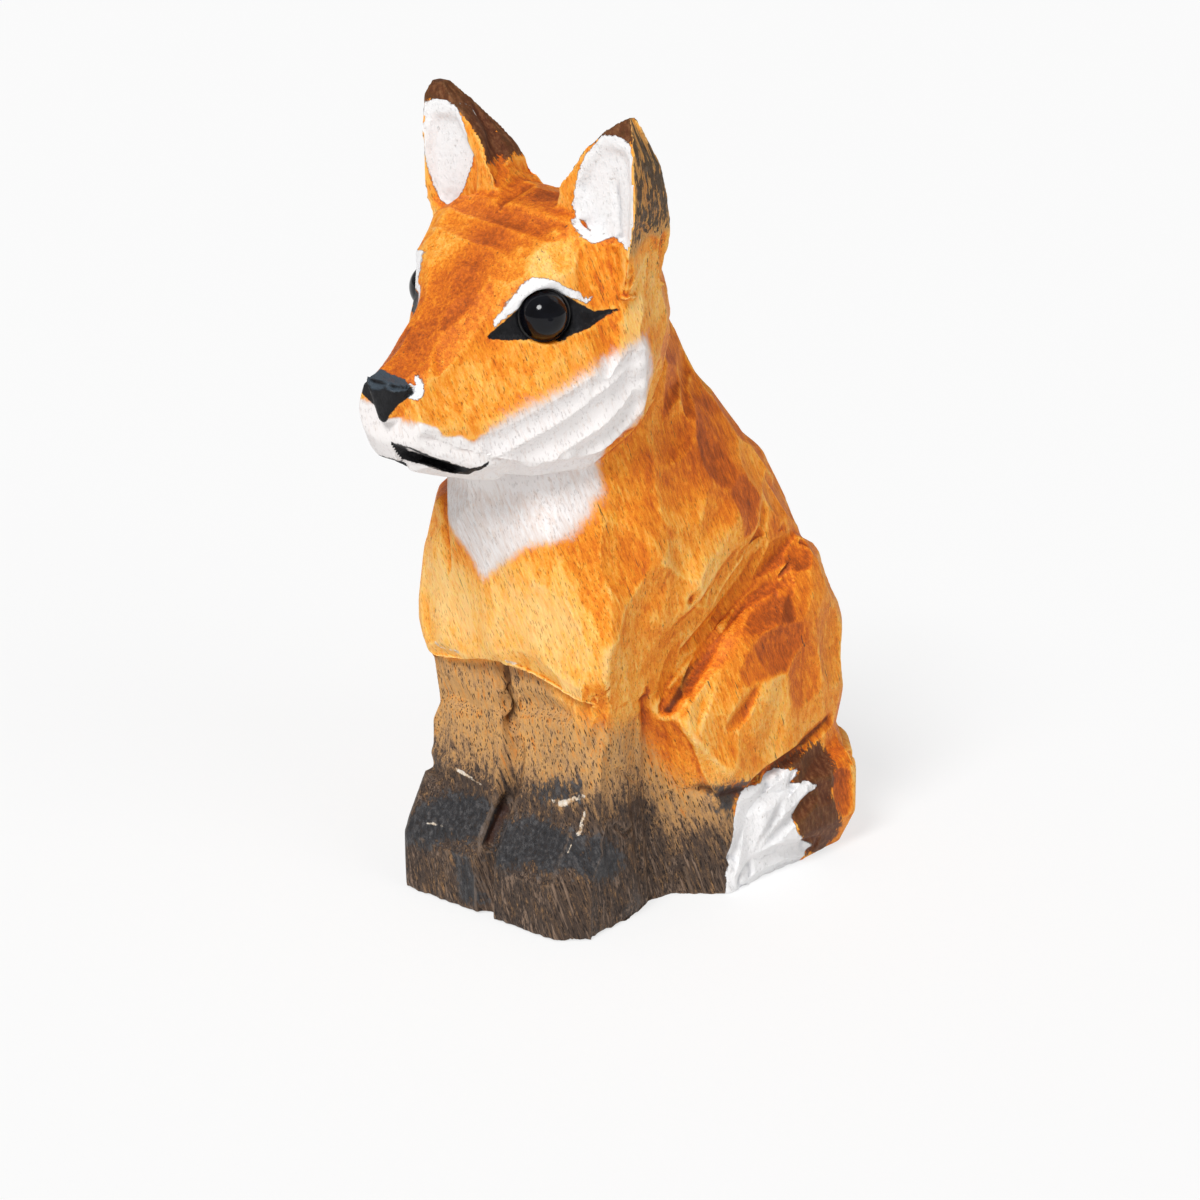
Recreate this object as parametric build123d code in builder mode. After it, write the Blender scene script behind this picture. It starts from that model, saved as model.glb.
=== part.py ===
"""A seated fox carved from one block of wood, with two bead eyes glued into drilled sockets.

Millimetres. +Z is up, the fox looks along -Y, and its left side is +X.
The origin is on the ground, in the fox's middle plane, under its belly.
"""
import os
from math import cos, radians, sin
from typing import NamedTuple

from build123d import *

LEFT, RIGHT = 1, -1

# Main sizes: the head's are measured from the ground and from the origin
CROWN_HEIGHT = 59.2
EAR_LENGTH = 6.8             # above the crown
MUZZLE_FORWARD = 25.6        # the end of the muzzle, behind the nose
HAUNCH_REACH = 12.2          # outwards from the middle plane

# Eyes: a round bead, bedded in glue in a drilled socket
BEAD_DIAMETER = 3.9
SOCKET_CLEARANCE = 0.12      # room for glue round the bead
GLUE_BED = 0.35              # glue under the bead
GLUE_LINE = 0.6              # how far below the skin the glue stops
EYE_TILT = 6.0               # degrees above level


class Eye(NamedTuple):
    """Where an eye looks, in degrees from straight ahead, and how far its bead stands out of the face."""
    side: int
    turn: float
    proud: float


EYES = {"left": Eye(LEFT, 58.0, 1.2), "right": Eye(RIGHT, 50.0, 0.4)}

# Mouth: a knife cut, its edges in (ahead, above) from the corner of the mouth
MOUTH_CORNER_FORWARD = 20.4
MOUTH_CORNER_HEIGHT = 40.6


class Lips(NamedTuple):
    """The edges of the mouth on one side of the muzzle, from the corner to the front."""
    side: int
    upper: list
    lower: list
    chin: tuple              # where the sloping end of the jaw would come out, below the chin


LIPS = [
    Lips(LEFT, [(1.2, -0.2), (3.7, 1.0), (6.2, 2.6)], [(1.8, -0.55), (3.6, 0.4)], (2.6, -3.6)),
    Lips(RIGHT, [(1.2, -0.4), (3.7, 0.0), (6.2, 0.9)], [(1.4, -0.75), (2.4, -0.5)], (1.6, -3.6)),
]
TONGUE = [(0.2, 0.2), (1.2, 0.1), (3.0, 1.0), (3.0, -0.4), (1.8, -0.9), (0.2, -0.4)]
TONGUE_WIDTH = 1.2           # wood left standing between the two sides' cuts

# Nose: a wedge on the end of the muzzle, narrowing downwards
NOSE_WIDTH = 4.8
NOSE_LENGTH = 2.2
NOSE_HEIGHT = 3.2
NOSE_PROUD = 0.8             # ahead of the muzzle's end
NOSE_LIFT = 0.4              # above the bridge
NOSE_CHAMFER = 0.8
NOSE_TIP_WIDTH = 1.2

# Ears: a shallow bowl is scooped out of the front of each
LEFT_EAR_TRIM = 0.7          # how much slimmer the left ear is at its tip
EAR_BOWL_DEPTH = 0.8
EAR_BOWL_TAPER = 35.0        # degrees, of its sloping rim

# Front paws, below the front legs
PAW_FORWARD = 15.7
PAW_REACH = 9.5              # outwards from the middle plane
PAW_HEIGHT = 4.9
PAW_HEEL = 7.5               # where the paw runs into the leg, forward of the origin
PAW_HEEL_REACH = 8.2
PAW_NOTCH_WIDTH = 1.8        # the notch that parts the two paws
PAW_NOTCH_DEPTH = 1.1
LEFT_PAW_CORNER = 2.3        # how far each paw's outer corner is cut back
RIGHT_PAW_CORNER = 0.7
INSTEP_HEIGHT = 9.4
INSTEP_FORWARD = 13.0

# The chest ends in a lip over the front legs
LIP_HEIGHT = 19.6
LIP_THICKNESS = 1.2
LEG_ROOT = 0.4               # how far the legs run up behind the lip
LEG_FRONT = 12.3             # how far forward the legs start, under the lip
# The lip's wavy edge, as (x, height above its ends)
LIP_EDGE = [
    (-9.8, 0.6), (-7.4, 0.3), (-4.0, 1.0), (-1.0, 1.8), (0.2, 2.2),
    (1.4, 1.9), (4.0, 1.3), (6.7, 0.7), (9.8, -0.2),
]

# The knife takes the corners off each section
TRUNK_EASE = 2.0             # how far from the corner its cut starts, at most
HEAD_EASE = 1.4
EASE_SHARE = 0.35            # and at most this share of a side

# The groove between the thigh and the ribs, in (y, z) from the knee up to the hip
CREASE_LOW = (-8.0, 16.4)
CREASE_HIGH = (14.5, 28.6)
CREASE_DEPTH = 1.4
CREASE_RUN = 5.0             # how far up the ribs its long side slopes
CREASE_DROP = 1.3            # and its short side, down behind the thigh


class TrunkRing(NamedTuple):
    """The left half of a level section of the trunk, with (x, y) where its facets turn."""
    height: float
    front: float
    breast: tuple
    ribs: tuple
    flank: tuple
    rump: tuple
    back: float


RIB_RING = TrunkRing(24.5, 14.4, (9.6, -13.4), (10.2, -7.0), (9.9, 10.6), (7.4, 16.4), 18.4)
TRUNK = [
    TrunkRing(0.0, 10.0, (6.5, -9.6), (8.0, -6.0), (9.5, 12.0), (7.0, 17.6), 18.6),
    TrunkRing(9.0, 10.8, (7.0, -10.4), (8.2, -6.5), (10.0, 12.5), (7.5, 18.0), 19.2),
    TrunkRing(LIP_HEIGHT - LIP_THICKNESS, 11.8, (7.8, -11.2), (8.8, -7.0), (10.0, 12.0), (7.5, 17.6), 19.4),
    TrunkRing(LIP_HEIGHT, 13.3, (9.4, -12.8), (9.9, -7.5), (10.0, 11.8), (7.5, 17.4), 19.2),
    RIB_RING,
    TrunkRing(28.5, 15.7, (9.0, -13.4), (10.0, -6.5), (9.7, 9.4), (7.1, 15.0), 17.0),
    TrunkRing(33.5, 17.2, (7.2, -13.7), (9.2, -6.2), (9.2, 7.4), (6.6, 12.4), 14.4),
    TrunkRing(38.0, 17.2, (5.4, -13.2), (8.2, -6.5), (8.2, 4.2), (5.7, 8.8), 10.6),
    TrunkRing(43.0, 14.0, (5.0, -11.0), (7.6, -6.5), (7.3, 0.2), (4.6, 4.7), 6.4),
    TrunkRing(50.0, 9.0, (5.0, -8.0), (6.8, -6.0), (6.6, -2.0), (3.8, 0.6), 2.0),
    TrunkRing(56.0, 8.0, (4.0, -7.8), (5.5, -6.5), (5.5, -4.2), (3.5, -3.0), -2.6),
]


class LegRing(NamedTuple):
    """The left half of a level section of the front legs, with the groove between them."""
    height: float
    groove: float
    inner: tuple
    front: tuple
    corner: tuple
    side: tuple
    back: tuple


FRONT_LEGS = [
    LegRing(0.0, 12.6, (0.9, -13.8), (6.6, -13.6), (9.2, -12.4), (9.3, -8.5), (7.4, -2.4)),
    LegRing(INSTEP_HEIGHT, 12.0, (0.8, -13.4), (6.6, -13.2), (8.9, -12.1), (8.9, -7.5), (7.6, -3.0)),
    LegRing(14.0, 11.4, (0.9, -12.6), (6.9, -12.5), (9.2, -11.7), (8.9, -7.5), (7.8, -3.3)),
    LegRing(LIP_HEIGHT + LEG_ROOT, 11.6, (0.8, -LEG_FRONT), (6.9, -LEG_FRONT), (9.3, -11.5), (9.1, -7.5),
            (8.0, -3.5)),
]


class HeadRing(NamedTuple):
    """The left half of an upright section across the head, with (x, z) where its facets turn."""
    forward: float
    crown: float
    brow: tuple
    temple: tuple
    cheek: tuple
    jaw: tuple
    chin: float
    right_brow: float = 1.0  # how much fuller the right half is, at its brow and temple
    right_jowl: float = 1.0  # and at its cheek and jaw


CROWN_RING = HeadRing(
    7.3, CROWN_HEIGHT, (6.3, 58.0), (9.6, 52.0), (10.1, 46.8), (8.9, 40.8), 38.5, 1.15, 1.07,
)
EYE_RING = HeadRing(15.0, 55.5, (5.9, 54.8), (6.4, 51.3), (8.1, 43.9), (6.8, 39.0), 38.2, 1.14, 1.07)
MUZZLE_RING = HeadRing(MUZZLE_FORWARD, 47.1, (2.3, 47.1), (3.2, 45.4), (3.1, 43.7), (1.9, 42.6), 42.5)
HEAD = [
    HeadRing(-0.5, 52.5, (4.2, 52.0), (5.6, 49.5), (6.2, 45.5), (5.5, 42.5), 41.0),
    HeadRing(4.0, 58.0, (5.6, 57.0), (8.6, 52.0), (9.0, 46.5), (7.6, 41.5), 40.0, 1.08, 1.04),
    CROWN_RING,
    HeadRing(11.0, 58.2, (6.6, 57.2), (8.7, 51.4), (9.6, 45.3), (8.1, 38.9), 37.8, 1.22, 1.11),
    EYE_RING,
    HeadRing(18.6, 52.3, (2.9, 51.9), (4.1, 49.8), (6.3, 43.3), (5.6, 39.2), 38.6, 1.05, 1.04),
    HeadRing(21.5, 50.0, (2.5, 49.7), (3.7, 47.2), (5.1, 43.0), (4.2, 39.7), 39.1, 1.0, 1.04),
    HeadRing(24.4, 48.0, (2.3, 47.8), (3.3, 45.6), (3.7, 43.2), (2.4, 40.6), 40.1, 1.0, 1.08),
    MUZZLE_RING,
]


class EarRing(NamedTuple):
    """A level section of the left ear, its height measured from the crown."""
    above_crown: float
    front_inner: tuple
    front_outer: tuple
    back_outer: tuple
    back_inner: tuple


EAR = [
    EarRing(-7.2, (3.4, -9.6), (10.0, -9.8), (9.0, -3.6), (2.6, -3.4)),
    EarRing(-2.2, (2.6, -10.0), (10.9, -10.1), (9.8, -4.4), (1.8, -4.8)),
    EarRing(0.9, (3.4, -10.1), (11.1, -10.2), (10.3, -5.4), (4.4, -5.0)),
    EarRing(3.4, (5.2, -10.0), (11.2, -10.1), (10.7, -6.6), (6.0, -6.1)),
    EarRing(5.7, (7.6, -9.7), (11.1, -9.7), (10.8, -7.9), (8.1, -7.7)),
    EarRing(EAR_LENGTH, (9.0, -9.3), (10.6, -9.3), (10.5, -8.4), (9.1, -8.4)),
]
# The bowl's rim, as (x, height above the crown)
EAR_BOWL_RIM = [(5.2, -2.2), (8.0, -3.3), (10.3, -2.9), (10.6, 1.4), (10.2, 4.5), (7.4, 4.8), (5.0, 1.2)]

# Haunches: the thigh's side outline in (y, z), and how it draws in as it stands out
THIGH_OUTLINE = [
    (-5.0, 16.2), (-3.6, 18.0), (5.5, 23.9), (12.5, 27.4), (15.4, 25.8),
    (17.9, 20.0), (18.6, 14.0), (17.2, 9.8), (2.6, 8.6), (-3.6, 9.8),
]
THIGH_MIDDLE = (6.0, 11.0)


class ThighRing(NamedTuple):
    """An upright section of the thigh: how far out it is, and its share of the outline."""
    out: float
    share: float


THIGH = [
    ThighRing(7.0, 1.0),
    ThighRing(9.3, 1.0),
    ThighRing(10.2, 0.96),
    ThighRing(11.0, 0.88),
    ThighRing(11.6, 0.76),
    ThighRing(12.0, 0.61),
    ThighRing(HAUNCH_REACH, 0.40),
]

# Hind feet: level outlines in (x, y), on the ground and at the top
HIND_FOOT_HEIGHT = 9.6
HIND_FOOT_SOLE = [(6.0, -2.2), (8.2, -2.6), (12.1, 0.8), (12.3, 4.0), (10.0, 8.0), (6.0, 8.0)]
HIND_FOOT_TOP = [(6.0, -3.4), (9.0, -3.9), (11.8, -1.2), (11.9, 3.0), (10.0, 8.0), (6.0, 8.0)]


class TailRing(NamedTuple):
    """An upright section of the tail, square to its path along the ground."""
    at: tuple
    heading: tuple
    inner: float
    sole: float
    bulge: float
    ridge: float
    height: float


TAIL = [
    TailRing((-5.5, 18.0), (1.0, 0.3), 2.5, 0.3, 0.8, 0.1, 7.0),
    TailRing((1.0, 19.0), (1.0, 0.0), 3.0, 0.7, 1.8, 0.5, 9.6),
    TailRing((7.4, 18.4), (1.0, -0.6), 3.0, 1.1, 2.6, 0.7, 10.4),
    TailRing((11.0, 14.8), (0.4, -1.0), 3.0, 1.2, 2.6, 0.6, 10.2),
    TailRing((11.5, 9.0), (0.05, -1.0), 2.5, 0.7, 1.8, 0.3, 9.9),
    TailRing((11.5, 4.4), (0.0, -1.0), 2.0, 0.6, 1.6, 0.2, 9.3),
    TailRing((11.5, 1.0), (-0.1, -1.0), 1.2, 0.2, 0.7, 0.1, 8.2),
]
TAIL_BULGE_LOW = 0.3         # the fullest band of the tail, in shares of its height
TAIL_BULGE_HIGH = 0.7


def mirrored(plane, half):
    """An outline across the middle plane, drawn as its left half and mirrored."""
    with BuildSketch(plane) as outline:
        with BuildLine():
            Polyline(*half)
            mirror(about=Plane.YZ)
        make_face()
    return outline.sketch


def closed(plane, points):
    """An outline drawn whole."""
    with BuildSketch(plane) as outline:
        with BuildLine():
            Polyline(*points, close=True)
        make_face()
    return outline.sketch


def eased(half, ease):
    """Half an outline with the corners between its ends cut off, and let out by half of what that takes."""
    half = [Vector(*point) for point in half]
    points = [half[0]]
    for before, corner, after in zip(half, half[1:], half[2:]):
        sides = [before - corner, after - corner]
        starts = [corner + side.normalized() * min(ease, EASE_SHARE * side.length) for side in sides]
        taken = corner - (starts[0] + starts[1]) / 2
        points += [start + taken / 2 for start in starts]
    return [*points, half[-1]]


def trunk_section(ring):
    half = [(0, -ring.front), ring.breast, ring.ribs, ring.flank, ring.rump, (0, ring.back)]
    return mirrored(Plane.XY.offset(ring.height), eased(half, TRUNK_EASE))


def leg_section(ring):
    half = [(0, -ring.groove), ring.inner, ring.front, ring.corner, ring.side, ring.back]
    return mirrored(Plane.XY.offset(ring.height), [*half, (0, ring.back[1])])


def paw_section(height, forward):
    notch = PAW_NOTCH_WIDTH / 2
    points = [
        (-PAW_HEEL_REACH, -PAW_HEEL),
        (-PAW_REACH, RIGHT_PAW_CORNER - forward), (RIGHT_PAW_CORNER - PAW_REACH, -forward),
        (-notch, -forward), (0, PAW_NOTCH_DEPTH - forward), (notch, -forward),
        (PAW_REACH - LEFT_PAW_CORNER, -forward), (PAW_REACH, LEFT_PAW_CORNER - forward),
        (PAW_HEEL_REACH, -PAW_HEEL),
    ]
    return closed(Plane.XY.offset(height), points)


def head_section(ring):
    brow, jowl = [ring.brow, ring.temple], [ring.cheek, ring.jaw]
    left = eased([(0, ring.crown), *brow, *jowl, (0, ring.chin)], HEAD_EASE)
    brow = [(ring.right_brow * x, z) for x, z in brow]
    jowl = [(ring.right_jowl * x, z) for x, z in jowl]
    right = eased([(0, ring.crown), *brow, *jowl, (0, ring.chin)], HEAD_EASE)
    right = [(-point.X, point.Y) for point in right[-2:0:-1]]
    return closed(Plane.XZ.offset(ring.forward), [*left, *right])


def nose_section(height, width, chamfer):
    front = MUZZLE_FORWARD + NOSE_PROUD
    back = front - NOSE_LENGTH
    side = width / 2
    half = [(0, -front), (side - chamfer, -front), (side, chamfer - front), (side, -back), (0, -back)]
    return mirrored(Plane.XY.offset(height), half)


def ear_section(ring, trim=0.0):
    slimmer = trim * max(ring.above_crown, 0) / EAR_LENGTH
    outer = [(x - slimmer, y) for x, y in (ring.front_outer, ring.back_outer)]
    points = [ring.front_inner, *outer, ring.back_inner]
    return closed(Plane.XY.offset(CROWN_HEIGHT + ring.above_crown), points)


def thigh_section(ring):
    y0, z0 = THIGH_MIDDLE
    points = [(y0 + ring.share * (y - y0), z0 + ring.share * (z - z0)) for y, z in THIGH_OUTLINE]
    return closed(Plane.YZ.offset(ring.out), points)


def tail_section(ring):
    along = Vector(*ring.heading, 0).normalized()
    outward = Vector(-along.Y, along.X, 0)
    points = [
        (-ring.inner, 0), (ring.sole, 0), (ring.bulge, ring.height * TAIL_BULGE_LOW),
        (ring.bulge, ring.height * TAIL_BULGE_HIGH), (ring.ridge, ring.height), (-ring.inner, ring.height),
    ]
    return closed(Plane(origin=(*ring.at, 0), x_dir=outward, z_dir=along), points)


def eye_plane(eye):
    """The plane across an eye's socket, on the skin of the temple, facing out."""
    turn = radians(eye.turn)
    tilt = radians(EYE_TILT)
    out = (eye.side * sin(turn) * cos(tilt), -cos(turn) * cos(tilt), sin(tilt))
    x, z = EYE_RING.temple
    fuller = EYE_RING.right_brow if eye.side == RIGHT else 1.0
    return Plane(origin=(eye.side * fuller * x, -EYE_RING.forward, z), z_dir=out)


def socket_depth(eye):
    return BEAD_DIAMETER - eye.proud + GLUE_BED


def lip_point(ahead, above):
    """A point (y, z) so far ahead of the corner of the mouth and above it."""
    return (-MOUTH_CORNER_FORWARD - ahead, MOUTH_CORNER_HEIGHT + above)


bead_radius = BEAD_DIAMETER / 2
socket_radius = bead_radius + SOCKET_CLEARANCE
nose_top = MUZZLE_RING.crown + NOSE_LIFT
bowl_forward = max(-ring.front_outer[1] for ring in EAR)

with BuildPart() as carved_body:
    # Body, front legs and paws
    loft([trunk_section(ring) for ring in TRUNK], ruled=True)
    loft([leg_section(ring) for ring in FRONT_LEGS], ruled=True)
    sole = paw_section(0, PAW_FORWARD)
    toes = paw_section(PAW_HEIGHT, PAW_FORWARD)
    instep = paw_section(INSTEP_HEIGHT, INSTEP_FORWARD)
    loft([sole, toes, instep], ruled=True)

    # The chest's lip, drawn back over the legs along its wavy edge
    edge = [(x, LIP_HEIGHT + z) for x, z in LIP_EDGE]
    under = [(edge[-1][0], LIP_HEIGHT - LIP_THICKNESS), (edge[0][0], LIP_HEIGHT - LIP_THICKNESS)]
    extrude(closed(Plane.XZ.offset(LEG_FRONT), [*edge, *under]), amount=PAW_FORWARD, mode=Mode.SUBTRACT)

    # The groove above the thigh, cut before the thigh is added
    crease = Edge.make_line((RIB_RING.ribs[0], *CREASE_LOW), (RIB_RING.ribs[0], *CREASE_HIGH))
    with BuildSketch(Plane(origin=crease @ 0, x_dir=(1, 0, 0), z_dir=crease % 0)):
        with BuildLine():
            open_side = [(CREASE_DEPTH, 2 * CREASE_DROP), (CREASE_DEPTH, -2 * CREASE_RUN)]
            Polyline((-CREASE_DEPTH, 0), *open_side, close=True)
        make_face()
    groove = extrude(amount=crease.length, mode=Mode.PRIVATE)
    add(groove, mode=Mode.SUBTRACT)
    mirror(groove, about=Plane.YZ, mode=Mode.SUBTRACT)

    # Haunches, hind feet and the tail that curls round the left side
    thigh = loft([thigh_section(ring) for ring in THIGH], ruled=True)
    mirror(thigh, about=Plane.YZ)
    sole = closed(Plane.XY, HIND_FOOT_SOLE)
    top = closed(Plane.XY.offset(HIND_FOOT_HEIGHT), HIND_FOOT_TOP)
    foot = loft([sole, top], ruled=True)
    mirror(foot, about=Plane.YZ)
    loft([tail_section(ring) for ring in TAIL], ruled=True)

    # Head, ears and nose
    loft([head_section(ring) for ring in HEAD], ruled=True)
    loft([ear_section(ring, LEFT_EAR_TRIM) for ring in EAR], ruled=True)
    ear = loft([ear_section(ring) for ring in EAR], ruled=True, mode=Mode.PRIVATE)
    mirror(ear, about=Plane.YZ)
    bridge = nose_section(nose_top, NOSE_WIDTH, NOSE_CHAMFER)
    tip = nose_section(nose_top - NOSE_HEIGHT, NOSE_TIP_WIDTH, NOSE_CHAMFER / 2)
    loft([bridge, tip], ruled=True)

    # Ear bowls, mouth and eye sockets
    for side in (LEFT, RIGHT):
        rim = [(side * x, CROWN_HEIGHT + z) for x, z in EAR_BOWL_RIM]
        bowl = closed(Plane.XZ.offset(bowl_forward), rim)
        extrude(bowl, amount=-EAR_BOWL_DEPTH, taper=EAR_BOWL_TAPER, mode=Mode.SUBTRACT)
    for lips in LIPS:
        front = lips.upper[-1][0]
        edges = [(0, 0), *lips.upper, (front, lips.chin[1]), lips.chin, *reversed(lips.lower)]
        gape = closed(Plane.YZ, [lip_point(*point) for point in edges])
        extrude(gape, amount=lips.side * PAW_REACH, mode=Mode.SUBTRACT)
    tongue = closed(Plane.YZ, [lip_point(*point) for point in TONGUE])
    extrude(tongue, amount=TONGUE_WIDTH / 2, both=True)
    for eye in EYES.values():
        with BuildSketch(eye_plane(eye).offset(-socket_depth(eye))):
            Circle(socket_radius)
        extrude(amount=socket_depth(eye) + BEAD_DIAMETER, mode=Mode.SUBTRACT)

os.makedirs("parts", exist_ok=True)
carved_body.part.label = "carved_body"
export_step(carved_body.part, "parts/carved_body.step")

for name, eye in EYES.items():
    bead_middle = eye.proud - bead_radius
    with BuildPart(eye_plane(eye).offset(bead_middle)) as eye_bead:
        Sphere(bead_radius)
    eye_bead.part.label = f"{name}_eye_bead"
    export_step(eye_bead.part, f"parts/{name}_eye_bead.step")

    with BuildPart(eye_plane(eye)) as eye_glue:
        with BuildSketch(eye_plane(eye).offset(-socket_depth(eye))):
            Circle(socket_radius)
        extrude(amount=socket_depth(eye) - GLUE_LINE)
        with Locations((0, 0, bead_middle)):
            Sphere(bead_radius, mode=Mode.SUBTRACT)
    eye_glue.part.label = f"{name}_eye_glue"
    export_step(eye_glue.part, f"parts/{name}_eye_glue.step")
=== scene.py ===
"""The looks of a seated fox: knife-cut from one block of wood, stained, painted, and given bead eyes.

Blender works in metres. The carving and the paint are laid out in millimetres on the same axes:
+Z is up, the fox looks along -Y, and its left side is +X.
"""
from math import cos, radians, sin

import bmesh
import bpy
import numpy as np
from mathutils import Matrix, Vector, noise


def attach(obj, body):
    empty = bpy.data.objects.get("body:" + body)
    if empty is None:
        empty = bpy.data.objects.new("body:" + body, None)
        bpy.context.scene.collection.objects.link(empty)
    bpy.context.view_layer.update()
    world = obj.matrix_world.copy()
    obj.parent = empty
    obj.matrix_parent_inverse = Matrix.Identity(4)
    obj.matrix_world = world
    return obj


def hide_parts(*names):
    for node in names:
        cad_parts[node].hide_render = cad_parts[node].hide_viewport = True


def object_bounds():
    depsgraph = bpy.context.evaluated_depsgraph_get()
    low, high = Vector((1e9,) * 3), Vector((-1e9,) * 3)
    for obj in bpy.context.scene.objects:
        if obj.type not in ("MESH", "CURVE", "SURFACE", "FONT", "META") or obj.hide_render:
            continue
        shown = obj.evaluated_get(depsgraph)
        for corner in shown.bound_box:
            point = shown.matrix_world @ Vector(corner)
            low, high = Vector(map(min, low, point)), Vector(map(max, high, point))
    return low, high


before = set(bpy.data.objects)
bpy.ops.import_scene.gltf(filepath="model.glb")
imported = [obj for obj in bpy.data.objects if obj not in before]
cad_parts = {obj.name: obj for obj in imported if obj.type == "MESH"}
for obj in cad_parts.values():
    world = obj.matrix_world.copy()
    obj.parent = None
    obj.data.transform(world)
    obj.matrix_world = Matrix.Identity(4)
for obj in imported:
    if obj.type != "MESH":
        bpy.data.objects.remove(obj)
cad_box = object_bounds()

MM = 0.001
LEFT, RIGHT = 1, -1

# The camera, where the photograph was taken from
CAMERA_AT = (0.1984, -0.2297, 0.1334)
CAMERA_BACK = (0.6165, -0.7092, 0.3420)
CAMERA_RIGHT = (0.7547, 0.6561, 0.0)
CAMERA_UP = (-0.2244, 0.2581, 0.9397)
CAMERA_LENS = 119.04

# The wood
NET = 0.21                   # between the points of the skin while it is carved
TRIANGLES = 196000           # left in the skin when it is done
SHARP = 12.0                 # degrees between faces, from which an edge shows crisp
STRAY = 0.09                 # how far one point may stand out of the skin, or into it, after the strokes
EDGE_HEIGHT = 0.03           # how far a point on a sharp edge stands above its neighbours
GRAIN_LEAN = (radians(12.5), radians(-14.5), 0)      # of the fibres: at the top forward and to the right
GRAIN = np.array([0.0, -0.2, 0.98])                  # about along them, for the strokes and the stain
EYE_MIDDLE = np.array([6.4, -15.0, 51.3])            # of the left eye, about
EYE_OUT = np.array([0.843, -0.527, 0.105])           # the way it looks
EYE_SINK = 0.25              # how far the skin is lowered round it

# The light
SKY = 0.28
FLOOR_GLOW = 0.7             # how much of its own white the floor shows to the camera


def rise(values, low, high):
    """0 up to low and 1 from high on, with an even curve between; low may be the greater."""
    share = np.clip((values - low) / (high - low), 0, 1)
    return share * share * (3 - 2 * share)


def inside(outline, u, v):
    """How far the points (u, v) lie inside a closed outline, and below 0 outside it."""
    nearest = np.full(u.shape, np.inf)
    odd = np.zeros(u.shape, bool)
    for (u0, v0), (u1, v1) in zip(outline, outline[1:] + outline[:1]):
        du, dv = u1 - u0, v1 - v0
        share = np.clip(((u - u0) * du + (v - v0) * dv) / (du * du + dv * dv), 0, 1)
        nearest = np.minimum(nearest, np.hypot(u - u0 - share * du, v - v0 - share * dv))
        if dv:
            odd ^= ((v0 > v) != (v1 > v)) & (u < u0 + (v - v0) * du / dv)
    return np.where(odd, nearest, -nearest)


def cloud(points, size, shift=0.0):
    """Smooth noise from -1 to 1 whose lumps are about that many millimetres across."""
    return np.array([noise.noise(Vector(p)) for p in points / size + shift])


def as_modified(piece):
    """A new mesh of a piece, with its modifiers applied."""
    return bpy.data.meshes.new_from_object(piece.evaluated_get(bpy.context.evaluated_depsgraph_get()))


def net_over(node):
    """An even net of four-sided faces over a CAD node's skin."""
    mesh = node.data.copy()
    skin = bmesh.new()
    skin.from_mesh(mesh)
    bmesh.ops.remove_doubles(skin, verts=skin.verts, dist=0.001 * MM)
    skin.to_mesh(mesh)
    skin.free()
    blank = bpy.data.objects.new("blank", mesh)
    bpy.context.scene.collection.objects.link(blank)
    even = blank.modifiers.new("even", "REMESH")
    even.mode = "VOXEL"
    even.voxel_size = NET * MM
    net = as_modified(blank)
    bpy.data.objects.remove(blank)
    bpy.data.meshes.remove(mesh)
    net.materials.clear()
    return net


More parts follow.
